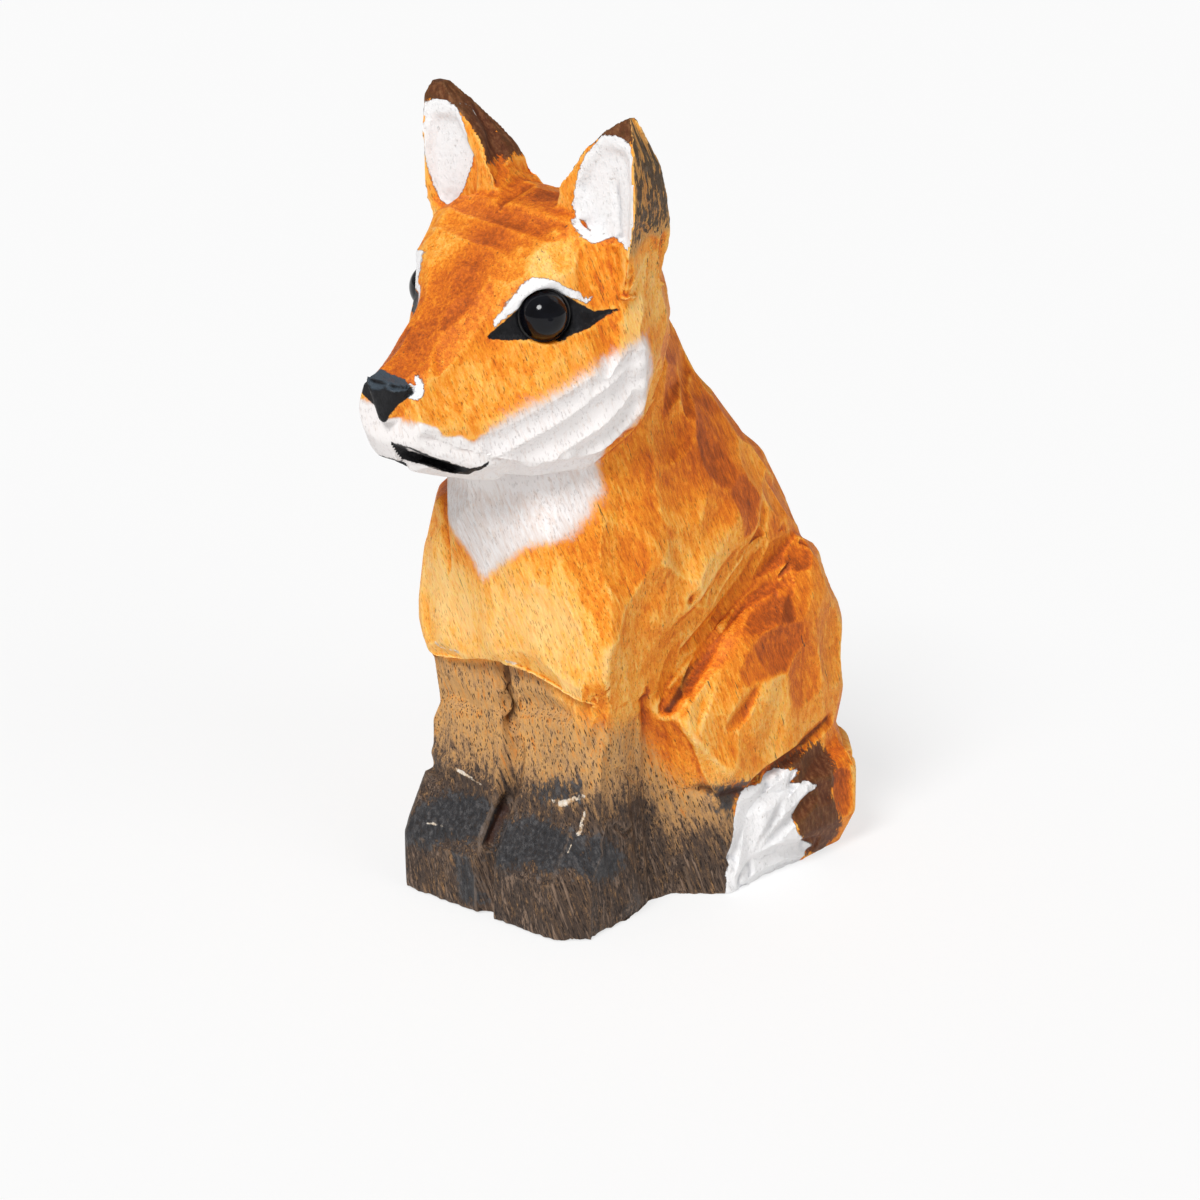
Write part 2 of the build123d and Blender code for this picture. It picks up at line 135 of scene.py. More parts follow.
class Carving:
    """The block of wood, as a net of points in millimetres that the knife pushes in."""

    def __init__(self, name, node):
        self.piece = bpy.data.objects.new(name, net_over(node))
        bpy.context.scene.collection.objects.link(self.piece)
        self.take(self.piece.data)
        self.depth = np.zeros(len(self.points))
        self.tone = np.zeros(len(self.points))
        self.shift = np.zeros(self.points.shape)

    def take(self, mesh):
        """Works on this mesh from here on."""
        self.mesh = mesh
        count = len(mesh.vertices)
        flat = np.empty(count * 3, np.float32)
        mesh.vertices.foreach_get("co", flat)
        self.points = flat.reshape(-1, 3).astype(float) / MM
        ends = np.empty(len(mesh.edges) * 2, np.int32)
        mesh.edges.foreach_get("vertices", ends)
        self.ends = np.concatenate([ends.reshape(-1, 2), ends.reshape(-1, 2)[:, ::-1]])
        self.links = np.bincount(self.ends[:, 0], minlength=count)
        self.refresh()

    def refresh(self):
        """Puts the points into the mesh, inside the CAD part's box, and reads the way they face."""
        self.points = np.clip(self.points, *(np.array(cad_box) / MM))
        self.mesh.vertices.foreach_set("co", (self.points * MM).astype(np.float32).ravel())
        self.mesh.update()
        flat = np.empty(self.points.size, np.float32)
        self.mesh.vertex_normals.foreach_get("vector", flat)
        self.facing = flat.reshape(-1, 3).astype(float)

    def around(self, values):
        """The mean of each point's neighbours."""
        here, there = self.ends.T
        columns = [np.bincount(here, column[there], len(self.links)) for column in np.atleast_2d(values.T)]
        return (np.array(columns) / self.links).T.reshape(values.shape)

    def relax(self, share, rounds):
        """Rounds the skin off; share is a number, or one for each point."""
        share = np.broadcast_to(share, self.links.shape)[:, None]
        for _ in range(rounds):
            self.points += share * (self.around(self.points) - self.points)
        self.refresh()

    def pare(self, start, end, width, depth, tilt=0.0, tone=0.0):
        """One stroke of the knife from start to end, a little hollow; on flat skin it is that wide and deep.

        tilt, in radians, turns it about its length. Where strokes cross, the deeper one takes the wood.
        """
        start, end = np.asarray(start, float), np.asarray(end, float)
        length = np.linalg.norm(end - start)
        gap = ((self.points - (start + end) / 2) ** 2).sum(1)
        nearest = self.points[gap.argmin()]
        near = np.flatnonzero(gap < (0.8 * length + width) ** 2)
        offset, facing = self.points[near] - nearest, self.facing[near]
        out = facing[(offset ** 2).sum(1) < (width / 2) ** 2].mean(0)
        out /= np.linalg.norm(out)
        along = end - start - out * (out @ (end - start))
        along /= np.linalg.norm(along)
        out = out * cos(tilt) + np.cross(along, out) * sin(tilt)
        ahead, aside, above = offset @ along, offset @ np.cross(out, along), offset @ out
        rim = (2 * ahead / length) ** 2 + (2 * aside / width) ** 2
        # It fades out past its rim, where the skin turns away from it, and under wood that stands high
        bite = np.minimum(above + depth * (1 - rim), depth + 0.4)
        bite *= rise(rim, 3.2, 2.0) * rise(facing @ out, 0.55, 0.8) * rise(above, 1.2, 0.7)
        deeper = bite > self.depth[near]
        cut = near[deeper]
        self.depth[cut] = bite[deeper]
        self.shift[cut] = -bite[deeper, None] * out
        self.tone[cut] = tone

    def gouge(self, path, width, depth, tone=0.0):
        """A hollow cut along a line of points on the skin, even in depth, that runs out at its ends."""
        ends = [np.linalg.norm(self.points - end, axis=1) for end in (path[0], path[-1])]
        bite = depth * (1 - (2 * self.off(path) / width) ** 2) * rise(np.minimum(*ends), 0, 0.6 * width)
        cut = bite > self.depth
        self.depth[cut] = bite[cut]
        self.shift[cut] = -bite[cut, None] * self.facing[cut]
        self.tone[cut] = tone

    def clear(self):
        """Takes away the wood that the strokes have cut."""
        self.points += self.shift
        self.refresh()

    def off(self, path):
        """How far each point is from a line of points."""
        nearest = np.full(self.links.shape, np.inf)
        for start, end in zip(path, path[1:]):
            start, run = np.array(start), np.subtract(end, start)
            share = np.clip((self.points - start) @ run / (run @ run), 0, 1)
            nearest = np.minimum(nearest, np.linalg.norm(self.points - start - share[:, None] * run, axis=1))
        return nearest

    def dress_down(self, limit):
        """Smooths off the points that stand out of the skin, or into it, by more than the limit."""
        for _ in range(3):
            middle = self.around(self.points)
            stray = np.abs(((self.points - middle) * self.facing).sum(1)) > limit
            self.points[stray] = middle[stray]
            self.refresh()

    def score(self, path, width, depth):
        """A V-shaped cut along a line of points on the skin, that wide to each side of the line.

        With a depth below 0 an edge stands there instead.
        """
        self.points -= self.facing * (depth * np.clip(1 - self.off(path) / width, 0, 1))[:, None]
        self.refresh()

    def keep(self, name, values):
        """Keeps one value for each point, for the finish to read."""
        layer = self.mesh.attributes.new(name, "FLOAT", "POINT")
        layer.data.foreach_set("value", values.astype(np.float32))

    def thin(self, triangles):
        """Takes points out of the flat of the facets, and keeps those along their edges."""
        fewer = self.piece.modifiers.new("fewer", "DECIMATE")
        fewer.ratio = triangles / (2 * len(self.mesh.polygons))
        fewer.use_collapse_triangulate = True
        thinned = as_modified(self.piece)
        self.piece.modifiers.clear()
        self.piece.data = thinned
        self.take(thinned)


def on_side(points, side):
    """A point, or a line of them: as it is for the left, its mirror image for the right."""
    return np.multiply(points, (side, 1, 1))


# Strokes of the knife on the fox's left, repeated on its right: start, end, width, depth and tilt
FACE_STROKES = [
    ((3.2, -24.9, 43.9), (3.9, -23.6, 42.0), 2.4, 0.14, 0.0),
    ((4.2, -23.0, 42.4), (5.3, -20.6, 41.6), 2.2, 0.16, 0.0),
    ((3.1, -24.3, 46.2), (4.3, -20.1, 47.4), 3.6, 0.20, 0.0),
    ((4.7, -21.7, 44.4), (6.0, -17.6, 46.4), 3.2, 0.18, 0.0),
    ((4.9, -18.6, 47.6), (7.3, -14.5, 48.7), 3.0, 0.16, 0.0),
    ((7.8, -13.9, 47.9), (9.6, -9.0, 49.1), 3.0, 0.18, 0.0),
    ((6.3, -15.6, 46.2), (8.7, -11.2, 47.6), 2.6, 0.16, 0.0),
    ((2.9, -14.0, 56.0), (8.1, -10.7, 53.5), 4.2, 0.26, 0.0),
    ((8.3, -9.9, 54.2), (9.5, -7.7, 51.6), 3.2, 0.22, 0.0),
    ((9.8, -6.3, 54.3), (9.2, -4.8, 48.5), 3.0, 0.24, 0.0),
]
TRUNK_STROKES = [
    ((5.4, -14.8, 30.4), (6.6, -13.7, 20.6), 7.6, 0.47, 0.0),
    ((8.0, -10.7, 34.4), (9.9, -8.1, 27.0), 6.9, 0.54, 0.0),
    ((9.9, -9.6, 26.0), (9.6, -9.8, 19.6), 4.1, 0.41, 0.0),
    ((9.5, -3.8, 32.1), (10.1, -1.6, 26.4), 3.9, 0.41, 0.08),
    ((10.2, -5.4, 25.8), (9.6, -6.8, 19.6), 4.1, 0.41, 0.0),
    ((9.9, 5.0, 29.8), (9.6, 0.0, 24.0), 3.9, 0.43, 0.08),
    ((9.9, -1.6, 24.6), (9.1, -4.0, 18.4), 3.4, 0.43, 0.08),
    ((9.8, 3.3, 30.8), (10.1, -1.8, 26.2), 2.1, 0.30, -0.14),
    ((9.3, 7.6, 27.2), (8.8, 2.2, 22.0), 2.8, 0.43, 0.1),
    ((8.4, -3.3, 38.6), (9.7, -0.5, 31.0), 6.0, 0.49, 0.0),
    ((8.1, 1.3, 39.9), (9.5, 4.9, 32.0), 5.5, 0.49, 0.0),
    ((8.0, 5.8, 37.2), (8.9, 10.2, 30.6), 4.4, 0.49, 0.0),
    ((8.4, 8.0, 34.2), (8.8, 11.7, 29.0), 3.7, 0.49, 0.0),
    ((8.7, -4.4, 44.6), (8.3, -2.0, 38.6), 4.6, 0.38, 0.0),
    ((6.3, 2.5, 43.7), (7.8, 1.7, 40.0), 3.7, 0.38, 0.0),
    ((5.4, 7.2, 38.5), (7.4, 13.4, 30.5), 5.1, 0.54, 0.0),
]
HAUNCH_STROKES = [
    ((10.1, 3.4, 22.4), (11.6, 10.4, 23.2), 5.1, 0.49, 0.0),
    ((10.8, 0.8, 19.4), (12.0, 12.6, 19.0), 5.3, 0.49, 0.0),
    ((10.6, -3.0, 17.6), (12.2, 2.6, 10.2), 5.8, 0.61, 0.0),
    ((12.1, 3.8, 17.4), (12.2, 6.4, 9.8), 4.6, 0.38, 0.0),
    ((12.1, 9.5, 20.0), (12.2, 10.9, 12.0), 5.1, 0.46, 0.0),
    ((11.4, 14.0, 22.2), (11.8, 14.4, 13.4), 5.1, 0.54, 0.0),
    ((10.4, -4.1, 14.9), (11.8, 1.4, 9.3), 3.2, 0.49, 0.1),
    ((10.6, 8.8, 26.0), (10.4, 14.2, 26.4), 3.9, 0.54, 0.0),
    ((10.2, 13.0, 26.6), (9.6, 16.8, 20.0), 5.3, 0.57, 0.0),
    ((10.4, 16.2, 19.0), (9.6, 17.8, 12.4), 5.3, 0.57, 0.0),
]
LEG_STROKES = [
    ((7.6, -12.4, 19.4), (7.4, -12.6, 11.6), 3.0, 0.20, 0.0),
    ((9.0, -8.2, 18.4), (8.6, -6.4, 8.2), 3.2, 0.26, 0.0),
    ((3.4, -12.3, 19.4), (3.4, -13.0, 10.8), 4.6, 0.18, 0.0),
    ((8.9, -11.0, 18.0), (8.9, -10.4, 8.0), 2.6, 0.24, 0.0),
    ((10.4, -2.3, 8.5), (9.8, -1.5, 1.4), 3.0, 0.26, 0.0),
    ((8.9, -5.0, 14.0), (8.6, -4.4, 3.0), 2.6, 0.26, 0.0),
    ((1.6, -14.2, 7.2), (7.6, -13.5, 7.6), 3.2, 0.22, 0.0),
    ((2.0, -15.4, 5.0), (7.4, -15.0, 5.2), 2.2, 0.20, 0.0),
]
TAIL_STROKES = [
    ((12.2, 2.3, 0.8), (12.2, 9.9, 0.3), 1.8, 0.34, 0.0),
    ((12.8, 9.0, 8.0), (13.4, 13.0, 4.6), 2.6, 0.34, 0.0),
    ((12.6, 13.4, 8.6), (13.2, 14.6, 2.4), 2.6, 0.34, 0.0),
]
SIDE_STROKES = FACE_STROKES + TRUNK_STROKES + HAUNCH_STROKES + LEG_STROKES
MIDDLE_STROKES = TAIL_STROKES + [
    ((-1.5, -18.2, 52.6), (1.1, -16.7, 53.9), 3.4, 0.24, 0.0),
    ((0.6, -24.3, 48.1), (1.0, -20.9, 50.5), 2.8, 0.20, 0.0),
    ((1.0, -20.9, 50.5), (1.2, -17.8, 53.0), 3.4, 0.22, 0.0),
    ((-2.5, -25.6, 44.6), (-3.9, -22.0, 41.8), 2.6, 0.16, 0.0),
    ((0.2, -17.2, 36.0), (0.4, -16.4, 30.0), 3.6, 0.24, 0.0),
    ((-2.9, -15.2, 29.4), (-4.8, -13.7, 20.8), 5.0, 0.30, 0.0),
    ((-5.8, -14.8, 31.2), (-7.6, -13.6, 22.0), 3.2, 0.30, 0.0),
    ((0.0, 2.4, 49.0), (0.6, 7.6, 42.0), 5.0, 0.34, 0.0),
    ((-0.6, 8.4, 41.0), (0.2, 15.0, 32.0), 5.0, 0.34, 0.0),
    ((0.4, 16.0, 31.0), (-0.4, 19.0, 22.0), 6.0, 0.34, 0.0),
    ((8.6, 12.0, 28.6), (5.8, 15.4, 28.4), 2.6, 0.45, 0.0),
]
STROKE_DRIFT = 0.35          # how far the right side's strokes stray from the left's

# Flutes cut with a gouge: the line, the width and the depth; those on the cheek are on both sides
CHEEK_FLUTES = [
    ([(5.1, -21.3, 41.8), (6.1, -18.8, 42.4), (7.3, -16.2, 43.5), (8.3, -13.9, 44.6),
      (9.0, -12.2, 45.4)], 2.2, 0.30),
    ([(8.6, -13.2, 45.2), (9.4, -10.8, 46.1), (9.9, -8.0, 47.6)], 1.7, 0.32),
    ([(5.7, -19.0, 40.1), (7.0, -16.5, 41.2), (8.2, -13.7, 42.5), (9.0, -11.8, 43.7), (9.6, -9.5, 45.1),
      (9.9, -7.8, 46.5)], 2.9, 0.50),
    ([(7.6, -13.9, 39.9), (8.8, -11.0, 41.2), (9.4, -8.9, 42.8), (9.8, -7.4, 44.6)], 2.3, 0.46),
    ([(6.5, -15.5, 39.2), (7.6, -12.2, 39.0), (8.6, -9.6, 39.8), (9.2, -7.6, 41.4)], 2.1, 0.42),
    ([(4.6, -20.4, 39.9), (5.8, -17.2, 39.2), (6.9, -14.0, 38.4)], 1.7, 0.30),
]
FLUTES = [
    ([(-8.6, -10.2, 56.9), (-5.2, -11.5, 57.5), (-1.0, -12.0, 57.5), (2.2, -12.1, 57.3),
      (4.8, -12.2, 57.0)], 2.3, 0.30),
    ([(-6.6, -12.7, 56.4), (-3.9, -13.4, 56.4), (-0.2, -14.0, 56.2), (3.2, -14.3, 55.8)], 2.3, 0.30),
    ([(-6.4, -14.6, 54.9), (-2.5, -15.4, 55.0), (1.4, -15.7, 54.8)], 2.4, 0.28),
    ([(12.0, 0.6, 2.2), (12.5, 2.2, 5.0), (12.7, 3.9, 7.1), (12.1, 6.5, 8.8)], 1.9, 0.58),
    ([(12.2, 2.6, 0.7), (13.0, 4.1, 3.6), (13.2, 6.5, 6.4), (12.7, 9.1, 8.1)], 2.0, 0.62),
    ([(12.7, 3.2, 2.5), (13.1, 5.3, 3.7), (13.3, 8.4, 5.2), (13.3, 11.2, 6.5)], 2.0, 0.62),
    ([(12.7, 2.7, 2.9), (13.0, 6.2, 2.2), (12.7, 10.9, 1.3)], 2.0, 0.56),
]

# Lines cut with the knife's point; the crease and the line under the haunch are on both sides
CREASE = [(9.7, 7.4, 28.8), (9.9, 3.6, 24.3), (9.6, 0.2, 20.4), (9.6, -4.2, 17.2)]
UNDER_HAUNCH = [
    (10.8, -1.5, 9.6), (11.9, 0.4, 8.9), (12.0, 2.8, 8.7), (12.0, 8.8, 9.8), (11.8, 14.2, 11.2),
]
LEG_GROOVE = [
    (-1.0, -12.6, 20.6), (-0.8, -12.3, 19.3), (-0.3, -11.8, 15.9), (0.9, -12.6, 13.9), (0.9, -13.0, 11.4),
    (0.4, -12.9, 9.6), (-0.4, -12.9, 8.4), (-0.5, -14.4, 6.2),
]
SCRATCHES = [
    [(8.9, -9.6, 13.4), (8.7, -7.6, 12.0), (8.9, -4.2, 9.8)],
    [(8.9, -9.8, 8.6), (8.7, -8.4, 7.4), (8.7, -7.2, 7.6)], [(8.8, -7.4, 17.0), (8.7, -6.8, 12.0)],
]
# Half the width of each and its depth, and half the width of the painted shade along it
CREASE_CUT, CREASE_SHADE = (0.9, 0.7), 0.46
UNDER_HAUNCH_CUT, UNDER_HAUNCH_SHADE = (0.8, 0.5), 0.30
LEG_GROOVE_CUT, LEG_GROOVE_SHADE = (0.9, 0.9), 0.40
SCRATCH_CUT = (0.3, 0.3)

# Edges left standing between facets: down the chest, on both sides of the trunk and thighs, and over a paw
CHEST_EDGES = [
    [(-0.2, -15.5, 28.0), (-0.3, -14.5, 24.7), (0.0, -14.1, 23.0), (0.7, -13.8, 21.8)],
    [(-5.8, -14.7, 30.2), (-6.2, -14.2, 25.4), (-6.1, -13.8, 22.5)],
]
SIDE_EDGES = [
    [(9.0, -7.1, 33.2), (9.6, -5.6, 30.5), (10.1, -4.4, 27.8), (10.1, -5.7, 25.9)],
    [(10.1, -2.2, 26.2), (10.0, 0.7, 28.5), (9.7, 3.9, 31.0)],
    [(9.7, -11.2, 28.3), (10.1, -11.9, 25.3), (9.5, -12.1, 21.5)],
    [(9.8, -4.2, 16.9), (12.0, -0.5, 13.1), (11.8, 3.6, 8.9)],
    [(9.4, 2.5, 21.9), (12.1, 5.6, 17.4), (12.2, 4.3, 13.9)],
]
RIGHT_INSTEP = [(-8.9, -12.0, 10.9), (-5.5, -13.0, 10.7), (-2.6, -13.2, 10.1), (-0.6, -13.0, 9.0)]
FACET_EDGE = (2.0, -0.42)    # half the width, and the height as a depth below 0
INSTEP_EDGE = (0.8, -0.2)

# The lip of the chest over the legs, in (across, height)
CHEST_LIP = [
    (-9.4, 20.4), (-7.4, 19.9), (-4.0, 20.6), (-1.0, 21.4), (0.2, 21.8), (1.4, 21.5), (4.0, 20.9),
    (6.7, 20.3), (9.4, 19.4),
]
KNOT = np.array([10.0, -1.9, 25.8])
KNOT_HOLE = 0.5              # its depth
SAW_MARK = 0.14              # depth of the saw's marks on the paws
TORN = 0.5                   # how far the sole's edge is torn away
# Width, length and hollow of the common strokes on the head, the trunk and the legs, and how many are tried
HEAD_FACET = (3.8, 7.0, 0.16)
TRUNK_FACET = (6.0, 11.0, 0.24)
LEG_FACET = (2.6, 9.0, 0.15)
FACET_TRIES = 6000
FACET_SEED, STROKE_SEED = 11, 3


def soften(wood):
    """Takes the sharpness off the rough shape's edges where the knife has been all over it."""
    x, y, z = wood.points.T
    trunk = rise(z, 21.5, 23) * rise(z, 43, 40)
    haunch = rise(z, 8.5, 11) * rise(np.abs(x), 8.5, 9.5) * rise(y, -7, -5)
    head = rise(z, 37, 39) * rise(z, 58, 57) * rise(-y, 23, 20)
    bowls = np.where(x > 0, inside(LEFT_EAR_BOWL, x, z), inside(RIGHT_EAR_BOWL, -x, z))
    bowls = rise(bowls, 0.2, 0.9) * (y < -8) * (z > 55)
    wood.relax(0.5 * np.maximum.reduce([trunk, haunch, head]), 4)
    wood.relax(0.5 * bowls, 16)
    wood.relax(0.5, 1)


def sink_left_eye(wood):
    """Lowers the skin round the left bead, inside the black patch; the right bead lies deep already."""
    x, y, z = wood.points.T
    patch = np.where((z > 48) & (x > 2.5) & (y < -8), inside(EYE_PATCH, -y, z), -1)
    depth = EYE_SINK * rise(patch, -0.1, 0.4)
    wood.points -= depth[:, None] * EYE_OUT
    wood.refresh()


def roughen(wood):
    """Saw marks down the paws, the knot's hole, and the torn edge of the sole."""
    x, y, z = wood.points.T
    paws = rise(z, 6.0, 4.6) * rise(-y, 8, 10)
    marks = cloud(wood.points * (1, 1, 0.08), 0.55)
    hole = np.exp(-((wood.points - KNOT) ** 2).sum(1) / 0.16)
    wood.points -= wood.facing * (paws * SAW_MARK * (1 + marks) + KNOT_HOLE * hole)[:, None]
    edge = rise(z, 1.2, 0.0) * rise(wood.facing[:, 2], -0.97, -0.7)
    wood.points[:, 2] += TORN * edge * np.clip(cloud(wood.points, 1.1, 7.0), 0, 1)
    wood.refresh()


def shaded_lines(wood):
    """Where shade is painted along the lines, measured before they are cut."""
    line_shade = LEG_GROOVE_SHADE - wood.off(LEG_GROOVE)
    for side in (LEFT, RIGHT):
        for path, half in ((CREASE, CREASE_SHADE), (UNDER_HAUNCH, UNDER_HAUNCH_SHADE)):
            line_shade = np.maximum(line_shade, half - wood.off(on_side(path, side)))
    wood.keep("line_shade", line_shade)


def is_fine(at):
    """Whether a point is where no common stroke goes.

    That is by the eyes, the ears' bowls, the mouth, the cheeks, the tail, the front legs and the sole.
    """
    x, y, z = at
    eye = np.linalg.norm((abs(x), y, z) - EYE_MIDDLE) < 4.2
    cheek = y < -5 and 37 < z < 49 and abs(x) > 3
    face = (z > 55.5 and y < -8.8) or (y < -21.5 and z < 47.5) or cheek
    return eye or face or z < 1.0 or (x > 9 and y > 0 and z < 10.5) or (y < -9.5 and z < 19.5)


def whittle(wood):
    """Strokes side by side all over the skin, about along the grain."""
    draw = np.random.default_rng(FACET_SEED)
    done = np.empty((0, 3))
    for at in wood.points[draw.choice(len(wood.points), FACET_TRIES, replace=False)]:
        if is_fine(at):
            continue
        facet = HEAD_FACET if at[2] > 43 else LEG_FACET if at[2] < 19 and at[1] < -3.5 else TRUNK_FACET
        width, length, hollow_shade = facet * draw.uniform(0.85, 1.25, 3)
        ahead = (done - at) @ GRAIN
        aside = ((done - at) ** 2).sum(1) - ahead ** 2
        if ((ahead / length) ** 2 + aside / width ** 2 < 0.36).any():
            continue
        done = np.vstack([done, at])
        run = (GRAIN + draw.normal(0, 0.22, 3)) * length / 2
        wood.pare(at - run, at + run, width, hollow_shade, draw.normal(0, 0.05), draw.normal())


def carve():
    """The fox's wood, cut from the CAD body's skin."""
    wood = Carving("carved_fox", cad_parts["carved_body"])
    soften(wood)
    draw = np.random.default_rng(STROKE_SEED)
    whittle(wood)
    for side in (LEFT, RIGHT):
        for start, end, width, depth, tilt in SIDE_STROKES:
            drift = draw.normal(0, STROKE_DRIFT, 3) * (side == RIGHT)
            start, end = on_side([start, end], side) + drift
            wood.pare(start, end, width, depth, side * tilt, draw.normal())
    for start, end, width, depth, tilt in MIDDLE_STROKES:
        wood.pare(start, end, width, depth, tilt, draw.normal())
    for path, width, depth in CHEEK_FLUTES:
        wood.gouge(path, width, depth, draw.normal())
        wood.gouge(on_side(path, RIGHT), width, depth, draw.normal())
    for path, width, depth in FLUTES:
        wood.gouge(path, width, depth, draw.normal())
    wood.clear()
    wood.dress_down(STRAY)
    for path in CHEST_EDGES + SIDE_EDGES + [on_side(path, RIGHT) for path in SIDE_EDGES]:
        wood.score(path, *FACET_EDGE)
    shaded_lines(wood)
    for side in (LEFT, RIGHT):
        wood.score(on_side(CREASE, side), *CREASE_CUT)
        wood.score(on_side(UNDER_HAUNCH, side), *UNDER_HAUNCH_CUT)
    wood.score(LEG_GROOVE, *LEG_GROOVE_CUT)
    wood.score(RIGHT_INSTEP, *INSTEP_EDGE)
    for path in SCRATCHES:
        wood.score(path, *SCRATCH_CUT)
    sink_left_eye(wood)
    roughen(wood)
    wood.relax(0.2, 1)
    return wood


# Outlines of the paint. On the head's sides they are in (forward, height)
EYE_PATCH = [
    (19.0, 49.9), (17.9, 50.8), (17.0, 51.6), (15.7, 52.9), (14.5, 53.3), (13.8, 53.0), (12.5, 52.0),
    (11.3, 51.2), (9.4, 51.2), (11.0, 50.4), (12.0, 50.1), (13.2, 49.8), (14.3, 49.3), (15.7, 49.6),
    (17.8, 49.7),
]
BROW = [
    (18.2, 50.7), (18.2, 51.2), (17.2, 52.4), (16.3, 53.4), (15.4, 54.3), (14.4, 54.0), (12.7, 53.0),
    (11.1, 52.2), (11.8, 51.9), (13.1, 52.5), (14.5, 53.3), (15.6, 53.2), (16.2, 52.2), (17.0, 51.7),
]
CHEEK = [
    (27.0, 44.5), (25.6, 44.8), (24.3, 44.2), (23.8, 43.4), (22.5, 43.2), (21.5, 42.6), (21.1, 42.9),
    (19.5, 43.9), (18.3, 44.4), (17.3, 44.8), (16.2, 45.2), (15.1, 45.7), (13.9, 46.2), (12.7, 46.8),
    (11.4, 47.4), (10.1, 48.0), (8.2, 48.5), (7.0, 48.6), (6.6, 45.9), (6.8, 43.3), (9.0, 40.5),
    (11.0, 38.4), (14.0, 36.0), (27.0, 36.0),
]
LEFT_MOUTH = [
    (20.1, 41.0), (20.9, 40.6), (21.6, 40.5), (24.1, 41.7), (26.6, 43.3), (26.6, 41.6), (24.3, 40.95),
    (23.4, 40.5), (22.2, 39.9), (21.4, 39.7), (20.6, 40.2),
]
RIGHT_MOUTH = [
    (20.1, 40.9), (21.6, 40.3), (24.1, 40.7), (26.6, 41.7), (26.6, 40.6), (23.6, 39.2), (21.4, 39.2),
    (20.6, 40.0),
]
NOSE_DAB = [(24.1, 47.9), (25.2, 47.9), (25.8, 46.6), (25.5, 46.3), (24.7, 46.6)]
# On the nose, the ears and the chest they are in (across, height)
NOSE = [
    (-3.0, 48.4), (-2.8, 45.8), (-1.9, 45.35), (-0.8, 44.9), (-0.2, 44.4), (0.1, 44.2), (0.4, 44.5),
    (0.8, 45.1), (1.4, 45.9), (2.2, 46.6), (2.4, 48.4),
]
LEFT_EAR_BOWL = [
    (7.3, 64.4), (6.6, 63.6), (5.9, 62.7), (5.2, 61.2), (4.9, 59.6), (4.6, 58.6), (5.2, 57.8),
    (6.1, 57.0), (7.2, 56.2), (8.2, 56.7), (9.5, 56.4), (10.3, 55.9), (10.9, 57.4), (11.0, 60.0),
    (10.8, 62.7), (10.2, 64.2), (8.7, 64.7),
]
RIGHT_EAR_BOWL = [
    (10.8, 64.3), (10.0, 64.5), (9.3, 65.1), (8.4, 64.7), (7.5, 64.4), (6.8, 63.6), (6.2, 62.4),
    (6.0, 61.0), (6.3, 59.4), (6.9, 58.0), (7.8, 57.0), (8.7, 56.3), (9.6, 56.7), (10.2, 58.0),
    (10.5, 59.6), (10.8, 61.6), (11.1, 63.0),
]
BIB = [
    (-8.5, 41.0), (-4.6, 36.5), (-4.2, 34.3), (-3.2, 32.5), (-1.5, 30.7), (-0.1, 28.3), (1.1, 29.4),
    (3.1, 31.0), (4.4, 32.2), (6.0, 32.7), (7.0, 33.0), (7.6, 34.4), (7.8, 36.0), (8.4, 37.5),
    (8.8, 41.0),
]
# On the tail they are in (back, height)
TAIL_TIP = [
    (0.5, -0.5), (0.7, 1.5), (0.8, 3.2), (1.1, 6.3), (1.8, 8.0), (2.9, 8.8), (4.8, 8.6), (5.9, 9.0),
    (7.1, 9.1), (9.2, 8.5), (8.0, 7.6), (9.9, 7.4), (11.2, 6.6), (9.1, 6.0), (8.0, 4.8), (8.2, 3.4),
    (9.2, 2.4), (10.9, 1.3), (9.8, -0.1), (5.0, -0.6),
]
TAIL_UMBER = [
    (5.9, 9.3), (9.5, 9.7), (12.6, 9.8), (13.8, 8.4), (12.9, 7.2), (12.6, 5.6), (13.4, 4.0), (14.6, 1.4),
    (13.0, -0.4), (10.5, 0.6), (8.2, 3.4), (7.8, 5.0), (9.0, 6.1), (8.0, 7.6), (9.0, 8.6),
]

